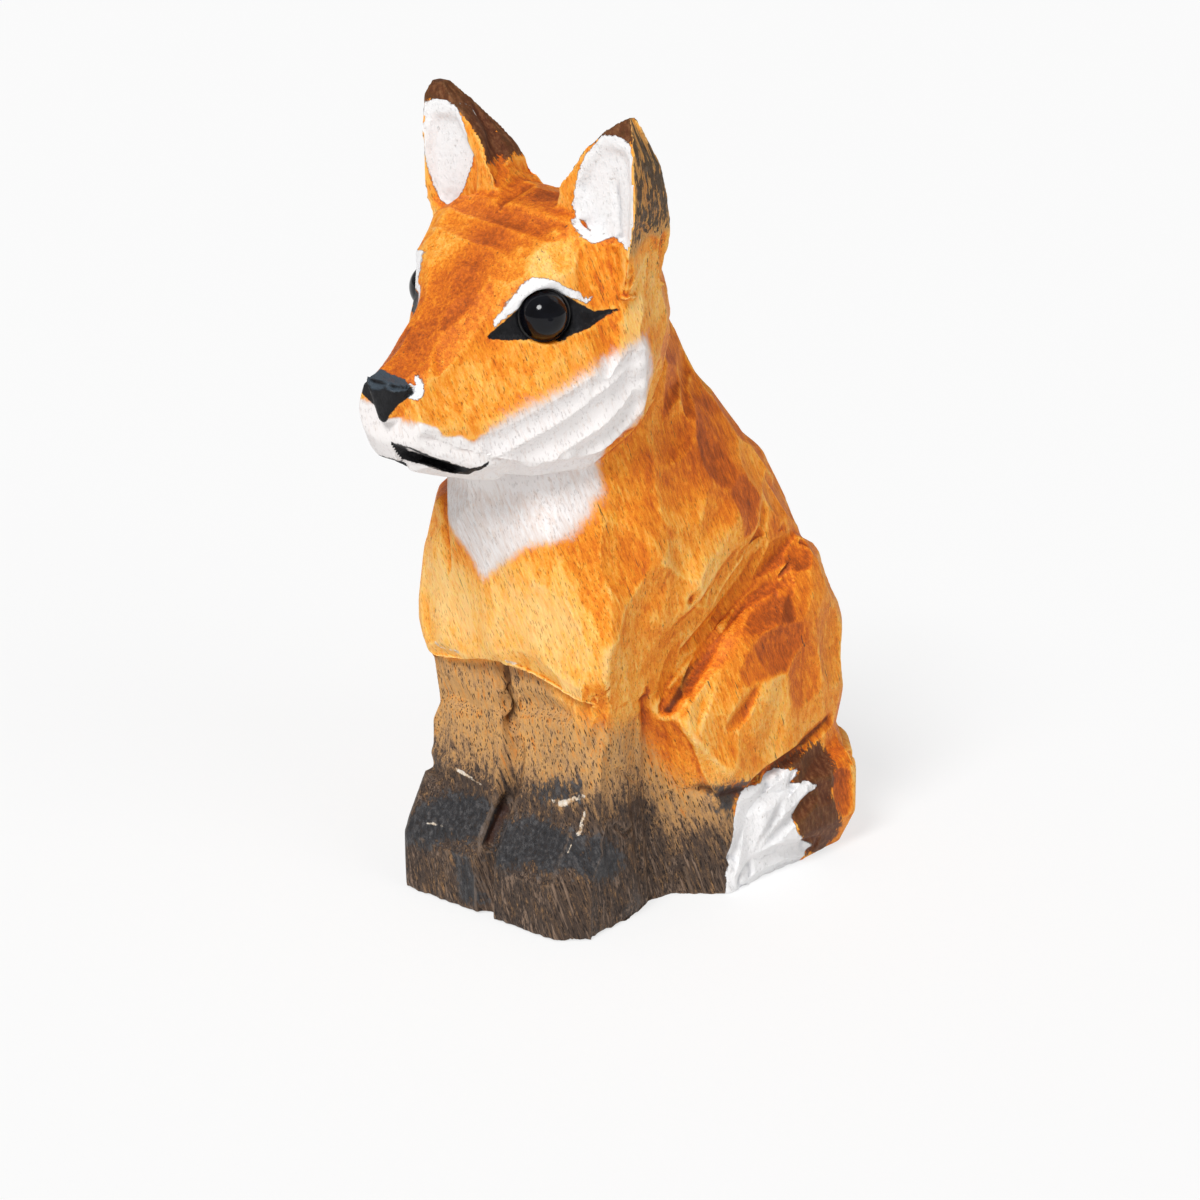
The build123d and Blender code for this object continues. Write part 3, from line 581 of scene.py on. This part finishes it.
# Washes of stain, those on the fox's left repeated on its right: the middle, how far it spreads,
# and from -1, pale gold, to 1, brown
WASHES = [
    ((0.0, -16.4, 54.0), 3.0, 0.55), ((0.0, -13.0, 56.6), 2.4, 0.35), ((3.9, -15.2, 55.0), 2.4, -0.55),
    ((6.6, -12.4, 55.2), 2.6, -0.40), ((0.0, -22.4, 49.4), 3.2, 0.55), ((4.0, -21.6, 46.8), 3.2, -0.35),
    ((7.4, -14.6, 47.4), 3.0, -0.30), ((9.4, -9.0, 52.0), 3.0, -0.10), ((8.4, -4.0, 47.5), 4.0, 0.10),
    ((7.8, -1.0, 42.0), 3.6, 0.30), ((8.4, -2.4, 37.6), 4.6, 0.65), ((8.6, 1.4, 36.0), 4.6, 0.45),
    ((9.3, 5.0, 32.4), 3.0, 0.10), ((8.5, 8.4, 34.0), 4.0, 0.05), ((6.5, -13.6, 33.0), 3.2, 0.15),
    ((4.6, -13.8, 25.0), 5.0, -0.60), ((-2.2, -14.6, 26.0), 5.0, -0.60), ((8.2, -11.9, 29.0), 4.0, -0.15),
    ((9.8, -8.0, 21.0), 4.0, -0.25), ((10.0, -1.0, 25.6), 3.4, -0.25), ((9.8, 2.0, 28.4), 3.0, -0.30),
    ((11.0, 6.4, 23.4), 4.2, 0.55), ((10.6, 11.2, 26.0), 4.0, 0.22), ((11.5, -2.4, 14.4), 3.4, -0.30),
    ((10.6, -0.6, 18.2), 3.4, -0.05), ((12.2, 4.0, 13.4), 3.6, 0.10), ((12.2, 9.4, 18.0), 4.0, 0.30),
    ((12.0, 10.0, 12.4), 3.0, 0.15), ((0.0, 16.0, 25.0), 9.0, 0.30), ((0.0, 3.0, 44.0), 6.0, 0.40),
    ((12.4, 14.0, 8.6), 3.4, 0.45), ((0.0, 20.0, 6.0), 7.0, 0.35),
]

# Black brushed over the insteps in (across, height), and over the sides of the feet in (back, height)
RIGHT_INSTEP_BLACK = [
    (-10.2, 5.6), (-7.9, 7.2), (-6.4, 8.4), (-2.4, 9.3), (-0.7, 8.5), (-0.5, 6.2), (-2.0, 6.0),
    (-3.4, 5.5), (-4.9, 5.2), (-6.4, 4.1), (-8.8, 4.1), (-10.2, 4.2),
]
LEFT_INSTEP_BLACK = [
    (-0.2, 7.3), (2.0, 8.8), (4.6, 9.0), (6.3, 8.8), (7.9, 8.6), (8.6, 7.4), (7.9, 6.2), (7.0, 5.9),
    (5.6, 5.5), (4.4, 5.8), (1.8, 4.6), (-0.2, 5.2),
]
LEFT_SHIN_BLACK = [(2.7, 11.1), (4.7, 12.4), (7.7, 12.7), (7.4, 11.4), (4.3, 10.5)]
PAW_GOUGE = [(-3.6, 5.0), (-1.6, 4.6), (-0.6, 1.0), (-2.4, 0.6)]
INSTEP_BLACKS = [RIGHT_INSTEP_BLACK, LEFT_INSTEP_BLACK, LEFT_SHIN_BLACK, PAW_GOUGE]
FOOT_BLACK = [(-12.4, 8.5), (-10.0, 7.1), (-8.8, 5.0), (-10.7, 4.3), (-13.6, 5.3), (-14.2, 6.4)]
TAIL_GAP = [(-0.6, 9.8), (3.4, 9.4), (3.4, 8.5), (1.7, 8.0), (0.8, 7.0), (-0.4, 7.8)]
# Bare wood where an edge has chipped or worn: the line, and half its width
BARE = [
    ([(4.5, -13.1, 10.7), (5.9, -13.0, 10.7), (7.8, -12.5, 11.8)], 0.26),
    ([(8.0, -12.5, 10.8), (7.8, -12.8, 8.9), (7.6, -13.9, 7.4)], 0.16),
    ([(9.7, -3.2, 9.3), (10.6, -2.4, 9.1), (11.2, -1.6, 8.6)], 0.40),
    ([(-7.0, -13.5, 21.2), (-6.0, -13.6, 20.8), (-4.6, -13.6, 21.1)], 0.24),
    ([(1.0, -13.8, 21.9), (2.4, -13.7, 21.5)], 0.20),
    ([(-8.9, -12.0, 10.9), (-5.5, -13.0, 10.7), (-2.6, -13.2, 10.1)], 0.14),
    ([(-7.6, -15.0, 6.2), (-4.4, -14.6, 6.2)], 0.12), ([(1.0, -15.6, 5.4), (4.2, -15.4, 5.6)], 0.12),
]


def edges_for_wear_and_painted_light(wood):
    """Which points stand on the edge of a facet or in a hollow, for wear, painted highlights and painted
    shade, and how dark the stain went into each facet.
    """
    bulge = ((wood.points - wood.around(wood.points)) * wood.facing).sum(1)
    bulge = 0.5 * bulge + 0.5 * wood.around(bulge)
    wood.keep("ridge", np.clip(bulge / EDGE_HEIGHT, -1, 1))
    wood.keep("cut", wood.around(wood.tone))


def paint(wood):
    """Where each stain and paint lies, and where light and shade are painted, as a value at each point of
    the wood.
    """
    x, y, z = wood.points.T
    across, forward = np.abs(x), -y
    nx, ny, nz = wood.facing.T
    away = np.full(x.shape, -5.0)
    folded = np.stack([across, y, z], 1)

    stain_and_shade = 0.66 * np.abs(wood.facing @ GRAIN) - 0.22      # end grain drinks more of it
    for middle, spread, amount in WASHES:
        spot = folded if middle[0] > 0 else wood.points
        stain_and_shade += amount * np.exp(-((spot - middle) ** 2).sum(1) / spread ** 2)
    # Painted shade: the stain is darker along the creases
    for side in (LEFT, RIGHT):
        stain_and_shade += 0.4 * rise(wood.off(on_side(CREASE, side)), 1.0, 0.1)

    # Thick white: in the ears, over the eyes, a dab beside the nose, and the tip of the tail
    head_side = (z > 43) & (forward > 6) & (across > 2.0)
    ear_front = (z > 55.2) & (forward > 8.2) & (forward < 11.5)
    bowl = np.where(x > 0, inside(LEFT_EAR_BOWL, across, z), inside(RIGHT_EAR_BOWL, across, z))
    bowl = np.where((nx * np.sign(x) > 0.5) & (across > 10.0), away, bowl)
    tail_side = (x > 9.5) & (y > 0) & (z < 11)
    white = np.maximum.reduce([
        np.where(ear_front, bowl, away),
        np.where(head_side, inside(BROW, forward, z), away),
        np.where((x > 1.6) & (x < 3.4) & (z > 45), inside(NOSE_DAB, forward, z), away),
        np.where(tail_side, inside(TAIL_TIP, y, z), away),
    ])

    # White brushed on thin: the cheeks and the bib
    cheek = inside(CHEEK, forward, np.where(x < 0, z - 0.6, z))
    softness = 0.25 + 1.4 * rise(forward, 22.5, 19.0)
    jowl = across > 8.1 * rise(forward, 13.5, 10.5)
    haze = rise(cheek, -softness, 0.8 * softness) * (z > 36) * jowl
    bib = np.minimum(inside(BIB, x, z), forward - 9.5)
    haze = np.maximum(haze, 0.84 * rise(bib, -0.8, 1.0) * (z < 42))

    # Black: round the eyes, the lips and the nose, with a painted sheen on the nose's top where it faces up
    nose = np.minimum(inside(NOSE, x, z), forward - 24.9 - 0.12 * x)
    nose = np.where((z > 44.1) & (forward > 23.5), nose, away)
    lips = np.where(x > 0, inside(LEFT_MOUTH, forward, z), inside(RIGHT_MOUTH, forward, z))
    lips = np.where((forward > 18) & (z < 45), lips, away)
    black = np.maximum.reduce([
        np.where(head_side & (z > 47), inside(EYE_PATCH, forward, z), away), lips, nose,
    ])
    # Painted sheen: the black nose turns a lighter grey-blue where it faces up
    nose_sheen = rise(nz, 0.35, 0.7) * (nose > -0.3)

    # Umber: the tips of the ears, lower on their backs, and the tail behind its tip
    rim = np.where(ny < -0.55, 64.1, np.where((nx > 0.5) & (x > 9.5), 66.5, 60.4))
    umber = np.where((z > 56) & (across > 1), z - rim, away)
    umber = np.maximum(umber, np.where(tail_side, inside(TAIL_UMBER, y, z), away))

    # The dark stain of the legs, from the chest's lip down, and the soot brushed over them
    lip = np.interp(x, *zip(*CHEST_LIP))
    top = np.where(forward > 9, lip, 19.6 - 7.0 * rise(y, -8, -2) - 3.4 * rise(y, 1, 4))
    tail = (y > 1.2) & (x > 9.0) & (z < 11)
    start = np.minimum(top - 3, 15.0)
    fade = np.where(forward > 9, 1.2 + 3.0 * rise(x, 3.0, 6.0), 5.0)
    leg = 0.35 * rise(z, top + 0.1, top - fade) + 0.65 * rise(z, start, start - 7)
    leg = np.where(tail, 0, leg * rise(y, 14, 9))
    front, side = forward > 9.5, across > 7.5
    soot = np.maximum.reduce([
        *[np.where(front, inside(outline, x, z), away) for outline in INSTEP_BLACKS],
        np.where(side, inside(FOOT_BLACK, y, z), away),
        np.where(tail_side | (x > 10), inside(TAIL_GAP, y, z), away),
    ])

    # Wood that is chipped bare, and smoke on the rims of the ears and faintly behind the cheeks
    bare = np.maximum.reduce([half - wood.off(path) for path, half in BARE])
    smoke = rise(across, 9.4, 10.2) * rise(z, 54.0, 58) * (ny > -0.6)
    smoke = np.maximum(smoke, 0.16 * rise(across, 7.5, 9) * rise(z, 41, 46) * rise(forward, 8, 6.5))

    for name, values in {
        "stain_and_shade": stain_and_shade, "white": white, "haze": haze, "black": black, "nose_sheen": nose_sheen,
        "umber": umber, "leg": leg, "soot": soot, "bare": bare, "smoke": smoke,
    }.items():
        wood.keep(name, values)


def colour(code):
    """A colour written as six hex digits, as the shader takes it."""
    parts = [int(code[i:i + 2], 16) / 255 for i in (0, 2, 4)]
    return (*[p / 12.92 if p <= 0.04045 else ((p + 0.055) / 1.055) ** 2.4 for p in parts], 1.0)


class Finish:
    """A material, with short calls for the nodes that its finish is mixed from."""

    def __init__(self, name):
        self.material = bpy.data.materials.new(name)
        self.material.use_nodes = True
        self.tree = self.material.node_tree
        self.shader = self.tree.nodes["Principled BSDF"]
        self.place = self.node("TexCoord").outputs["Object"]

    def node(self, kind, sockets=None, **settings):
        made = self.tree.nodes.new("ShaderNode" + kind)
        for name, value in settings.items():
            setattr(made, name, value)
        for key, value in (sockets or {}).items():
            self.plug(made.inputs[key], value)
        return made

    def plug(self, socket, value):
        if isinstance(value, bpy.types.NodeSocket):
            self.tree.links.new(value, socket)
        else:
            socket.default_value = value

    def layer(self, name):
        return self.node("Attribute", attribute_name=name).outputs["Fac"]

    def stretched(self, length, width=1.0):
        """Coordinates in millimetres over the pattern's size along the grain and across it."""
        scale = (width * MM, width * MM, length * MM)
        return self.node("Mapping", {"Vector": self.place, "Rotation": GRAIN_LEAN, "Scale": scale},
                         vector_type="TEXTURE").outputs[0]

    def noise(self, vector, detail=3.0, rough=0.5, twist=0.0):
        return self.node("TexNoise", {"Vector": vector, "Scale": 1.0, "Detail": detail, "Roughness": rough,
                                      "Distortion": twist}).outputs["Fac"]

    def sum(self, first, second, share=1.0):
        return self.node("Math", {0: second, 1: share, 2: first}, operation="MULTIPLY_ADD").outputs[0]

    def stir(self, value, pattern, share):
        """The value, made higher and lower by a pattern about its middle."""
        return self.sum(value, self.sum(-0.5, pattern), share)

    def times(self, first, second):
        return self.node("Math", {0: first, 1: second}, operation="MULTIPLY").outputs[0]

    def most(self, first, second):
        return self.node("Math", {0: first, 1: second}, operation="MAXIMUM").outputs[0]

    def step(self, value, low, high, to_low=0.0, to_high=1.0):
        return self.node("MapRange", {"Value": value, "From Min": low, "From Max": high, "To Min": to_low,
                                      "To Max": to_high}, interpolation_type="SMOOTHSTEP").outputs[0]

    def mix(self, share, first, second, blend="MIX"):
        sockets = {0: share, 6: first, 7: second}
        return self.node("Mix", sockets, data_type="RGBA", blend_type=blend).outputs[2]

    def ramp(self, value, stops):
        made = self.node("ValToRGB", {"Fac": value})
        band = made.color_ramp.elements
        band.remove(band[1])
        band[0].position = stops[0][0]
        band[0].color = colour(stops[0][1])
        for at, code in stops[1:]:
            band.new(at).color = colour(code)
        return made.outputs["Color"]

    def flecks(self, length, width, few, many, size):
        """Short dark marks along the grain; few and many say which share of them shows."""
        at = self.stretched(length, width)
        cell = self.node("TexVoronoi", {"Vector": at, "Scale": 1.0, "Randomness": 1.0})
        reach = self.step(cell.outputs["Color"], few, many, 0.0, size)
        return self.step(self.sum(reach, cell.outputs["Distance"], -1.0), -0.02, 0.06)

    def bump(self, height, distance, below=None):
        sockets = {"Height": height, "Distance": distance * MM, "Strength": 1.0}
        if below is not None:
            sockets["Normal"] = below
        return self.node("Bump", sockets).outputs[0]


def painted_wood():
    """Stained wood with its pores and fibres, and over it the washes, the soot and the thick paints, with
    painted highlights on the facets' edges, painted shade in the hollows and cut lines, and a painted sheen
    on the nose.
    """
    f = Finish("painted_wood")
    blotch = f.noise(f.stretched(3.5, 2.6), 3, 0.55)
    mottle = f.noise(f.stretched(1.3, 0.7), 5, 0.65, 0.6)
    brush = f.noise(f.stretched(1.9, 0.28), 4, 0.6)
    fibre = f.noise(f.stretched(1.1, 0.16), 3, 0.6, 0.8)
    fuzz = f.noise(f.stretched(0.45, 0.3), 4, 0.65, 2.5)
    crumb = f.noise(f.stretched(0.5, 0.5), 5, 0.7)
    streak = f.noise(f.stretched(9.0, 0.35), 4, 0.65)
    leg = f.layer("leg")
    pores = f.flecks(0.75, 0.12, 0.3, 0.6, 0.30)
    flecks = f.flecks(0.95, 0.14, 0.2, 0.5, 0.36)
    knots = f.flecks(1.9, 0.6, 0.6, 0.75, 0.13)

    # The orange stain, darker in some facets; paler along their edges from rubbing and as painted highlight,
    # and darker in the hollows as painted shade
    tone = f.times(f.layer("stain_and_shade"), 0.62)
    for pattern, share in ((blotch, 0.4), (brush, 0.9), (mottle, 0.9), (fuzz, 1.0)):
        tone = f.stir(tone, pattern, share)
    tone = f.sum(tone, f.layer("cut"), 0.17)
    # Painted highlight along the facets' edges and painted shade in their hollows, with some rubbing
    tone = f.sum(tone, f.layer("ridge"), -0.45)
    stained_and_shaded = f.ramp(f.step(tone, -1.0, 1.0), [
        (0.0, "fbc77d"), (0.24, "f9b152"), (0.45, "f29127"), (0.62, "de7519"), (0.8, "c05b18"),
        (1.0, "843c15"),
    ])
    fibres = f.step(f.sum(f.times(fibre, 0.6), fuzz, 0.4), 0.3, 0.7)
    fibres = f.ramp(fibres, [(0.0, "9a9087"), (0.5, "c8c8c8"), (1.0, "f2f2f2")])
    stained_and_shaded = f.mix(0.45, stained_and_shaded, fibres, "OVERLAY")
    stained_and_shaded = f.mix(f.times(pores, 0.42), stained_and_shaded, colour("94491a"))
    stained_and_shaded = f.mix(f.times(knots, 0.55), stained_and_shaded, colour("5f3014"))

    # The legs' brown, streaked and worn
    shade = leg
    for pattern, share in ((blotch, 0.5), (streak, 1.5), (brush, 0.9), (fuzz, 0.7)):
        shade = f.stir(shade, pattern, share)
    legs = f.ramp(shade, [
        (0.0, "dd9746"), (0.32, "c6965c"), (0.55, "ad855a"), (0.8, "624d3c"), (1.0, "42362f"),
    ])
    streaks = f.ramp(streak, [(0.3, "8a8682"), (0.5, "c2c2c2"), (0.7, "e6e2de")])
    legs = f.mix(0.55, legs, streaks, "OVERLAY")
    worn = f.times(f.step(streak, 0.52, 0.66), f.step(leg, 0.9, 1.0, 0.0, 0.55))
    legs = f.mix(worn, legs, colour("a98c74"))
    legs = f.mix(f.times(flecks, 0.88), legs, colour("231d1b"))
    wood = f.mix(f.step(f.stir(leg, fuzz, 0.5), 0.02, 0.3), stained_and_shaded, legs)

    # Soot, edges rubbed through it, painted shade along the cut lines, and bare chips
    soot = f.step(f.stir(f.stir(f.layer("soot"), crumb, 3.0), streak, 2.4), -0.5, 0.4)
    sooted = f.ramp(f.sum(f.times(crumb, 0.5), streak, 0.5), [
        (0.34, "1a1b1d"), (0.5, "313235"), (0.64, "555557"), (0.75, "807d7a"),
    ])
    wood = f.mix(f.times(soot, 0.92), wood, sooted)
    rubbed = f.step(f.stir(f.layer("ridge"), crumb, 0.8), 0.25, 0.7)
    rubbed = f.times(rubbed, f.step(leg, 0.75, 1.0, 0.0, 0.26))
    wood = f.mix(rubbed, wood, colour("9a8069"))
    # Painted shade: the cut lines are darkened with a deep brown
    line_shade = f.step(f.stir(f.layer("line_shade"), crumb, 0.7), -0.1, 0.2)
    wood = f.mix(f.times(line_shade, 0.72), wood, colour("43261a"))
    bare = f.step(f.stir(f.stir(f.layer("bare"), brush, 0.3), crumb, 0.25), -0.03, 0.06)
    chips = f.ramp(crumb, [(0.35, "b58a58"), (0.55, "ead9c2"), (0.7, "f4efe8")])
    wood = f.mix(f.times(bare, 0.85), wood, chips)

    # The ears' rims, tan and then smoked
    smoke = f.layer("smoke")
    tan = f.ramp(streak, [(0.3, "8d6238"), (0.5, "c79a5c"), (0.7, "e0b983")])
    wood = f.mix(f.step(smoke, 0.1, 0.5, 0.0, 0.75), wood, tan)
    smoked = f.step(f.stir(f.stir(f.times(smoke, 0.72), streak, 3.0), fibre, 0.9), 0.42, 0.72)
    smokes = f.ramp(crumb, [(0.35, "16120f"), (0.55, "3a322c"), (0.72, "6d6055")])
    wood = f.mix(f.times(smoked, 0.92), wood, smokes)

    # Umber on the tips of the ears and the tail
    umber = f.step(f.stir(f.stir(f.layer("umber"), crumb, 1.6), streak, 2.2), -0.12, 0.14)
    umbered = f.sum(f.times(crumb, 0.45), streak, 0.55)
    umbered = f.ramp(umbered, [(0.3, "1f120e"), (0.5, "54301f"), (0.7, "8d6242")])
    wood = f.mix(f.times(umber, 0.95), wood, umbered)

    # White brushed on thin, greyer in the hollows as painted shade
    haze = f.layer("haze")
    strands = f.stir(f.times(f.sum(-0.5, mottle), 0.8), brush, 0.35)
    dry = f.step(f.stir(f.sum(haze, strands), fuzz, 0.7), 0.22, 0.74)
    chalk = f.ramp(f.stir(haze, brush, 1.0), [(0.35, "efd0b8"), (0.7, "e6dad4"), (0.95, "f4f1f0")])
    # Painted shade: the white is greyed where the skin lies in a hollow
    hollow_shade = f.step(f.layer("ridge"), -0.15, -0.9)
    chalk = f.mix(f.times(hollow_shade, 0.35), chalk, colour("cdbfb8"))
    wood = f.mix(f.times(dry, f.step(haze, 0.05, 0.8, 0.45, 0.97)), wood, chalk)
    wood = f.mix(f.times(f.times(pores, haze), 0.1), wood, colour("a9765a"))

    # Thick white, greyed in the hollows as painted shade, black, and a painted sheen on the nose's top
    white = f.step(f.stir(f.layer("white"), crumb, 0.55), -0.03, 0.05)
    thick = f.ramp(crumb, [(0.27, "b9b0aa"), (0.36, "efeeee"), (1.0, "f6f6f7")])
    # Painted shade: the thick white greys in the hollows
    wood = f.mix(white, wood, f.mix(f.times(hollow_shade, 0.6), thick, colour("aaacb2")))
    black = f.step(f.stir(f.layer("black"), crumb, 0.35), -0.03, 0.05)
    wood = f.mix(black, wood, f.ramp(crumb, [(0.3, "0f0f11"), (0.62, "1b1b1e"), (0.8, "3c3c3f")]))
    # Painted sheen on the nose's top
    wood = f.mix(f.times(f.times(black, f.layer("nose_sheen")), 0.85), wood, colour("47525c"))

    f.plug(f.shader.inputs["Base Color"], wood)
    rough = f.step(fuzz, 0.3, 0.7, 0.46, 0.62)
    f.plug(f.shader.inputs["Roughness"], f.sum(f.sum(rough, black, -0.1), soot, -0.12))
    fine = f.bump(f.sum(f.times(fibre, 0.5), fuzz, 0.6), 0.05)
    pits = f.most(f.most(pores, knots), f.times(flecks, leg))
    pitted = f.bump(f.sum(1.0, pits, -1.0), 0.04, fine)
    coated = f.bump(f.times(white, f.sum(1.0, crumb, 0.9)), 0.10, pitted)
    f.plug(f.shader.inputs["Normal"], coated)
    f.shader.inputs["Specular IOR Level"].default_value = 0.2
    return f.material


def bead_black():
    """Polished black glass-like bead, with a faint haze of handling."""
    f = Finish("bead_black")
    smudge = f.noise(f.stretched(0.9, 0.9), 3, 0.5)
    f.plug(f.shader.inputs["Base Color"], f.ramp(smudge, [(0.35, "06060a"), (0.7, "0d0e14")]))
    f.plug(f.shader.inputs["Roughness"], f.step(smudge, 0.35, 0.75, 0.05, 0.14))
    f.shader.inputs["Specular IOR Level"].default_value = 0.25
    return f.material


def glue_dark():
    """Dried glue, darkened by the paint round it."""
    f = Finish("glue_dark")
    skin = f.noise(f.stretched(0.4, 0.4), 3, 0.5)
    f.plug(f.shader.inputs["Base Color"], f.ramp(skin, [(0.3, "0f0e0d"), (0.7, "1f1c1a")]))
    f.plug(f.shader.inputs["Roughness"], f.step(skin, 0.3, 0.7, 0.25, 0.45))
    return f.material


def dress(node, material):
    """Gives a CAD node its finish."""
    node.data.materials.clear()
    node.data.materials.append(material)


def pale_floor():
    """A wide pale floor that takes the fox's shadow."""
    bm = bmesh.new()
    bmesh.ops.create_grid(bm, x_segments=1, y_segments=1, size=3.0)
    mesh = bpy.data.meshes.new("floor")
    bm.to_mesh(mesh)
    bm.free()
    floor = bpy.data.objects.new("floor", mesh)
    bpy.context.scene.collection.objects.link(floor)
    f = Finish("pale_floor")
    f.shader.inputs["Base Color"].default_value = colour("f4f4f4")
    f.shader.inputs["Roughness"].default_value = 0.9
    ray = f.node("LightPath")
    seen = f.most(ray.outputs["Is Camera Ray"], ray.outputs["Is Glossy Ray"])
    seen = f.most(seen, ray.outputs["Is Transmission Ray"])
    white = f.node("Emission", {"Color": (1, 1, 1, 1), "Strength": 1.0}).outputs[0]
    lit = f.node("MixShader", {0: f.times(seen, FLOOR_GLOW), 1: f.shader.outputs[0], 2: white}).outputs[0]
    f.plug(f.tree.nodes["Material Output"].inputs["Surface"], lit)
    mesh.materials.append(f.material)


def soft_lamp(name, towards, spread, strength, mirrored=True):
    """A wide, far lamp that lights the floor evenly; towards points from the fox to the lamp."""
    data = bpy.data.lights.new(name, "SUN")
    data.angle = radians(spread)
    data.energy = strength
    lamp = bpy.data.objects.new(name, data)
    lamp.rotation_euler = Vector(towards).to_track_quat("Z", "Y").to_euler()
    lamp.visible_glossy = mirrored
    bpy.context.scene.collection.objects.link(lamp)


def studio():
    """Two soft lamps, a pale sky and floor, and the camera."""
    scene = bpy.context.scene
    scene.view_settings.view_transform = "Standard"
    world = bpy.data.worlds.new("studio")
    scene.world = world
    world.use_nodes = True
    sky = world.node_tree.nodes["Background"]
    sky.inputs["Color"].default_value = (1, 1, 1, 1)
    sky.inputs["Strength"].default_value = SKY
    soft_lamp("key", towards=(0.15, -0.70, 0.80), spread=20, strength=2.55)
    soft_lamp("fill", towards=(0.85, -0.05, 0.50), spread=35, strength=0.58, mirrored=False)
    pale_floor()
    camera = bpy.data.objects.new("camera", bpy.data.cameras.new("camera"))
    camera.data.lens = CAMERA_LENS
    camera.data.clip_start = 0.01
    turn = Matrix((CAMERA_RIGHT, CAMERA_UP, CAMERA_BACK)).transposed()
    camera.matrix_world = Matrix.Translation(CAMERA_AT) @ turn.to_4x4()
    scene.collection.objects.link(camera)
    scene.camera = camera


wood = carve()
edges_for_wear_and_painted_light(wood)
wood.thin(TRIANGLES)
paint(wood)
wood.mesh.materials.append(painted_wood())
wood.mesh.shade_smooth()
wood.mesh.set_sharp_from_angle(angle=radians(SHARP))
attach(wood.piece, "root")
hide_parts("carved_body")
bead = bead_black()
glue = glue_dark()
for side in ("left", "right"):
    dress(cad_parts[side + "_eye_bead"], bead)
    dress(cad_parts[side + "_eye_glue"], glue)
studio()
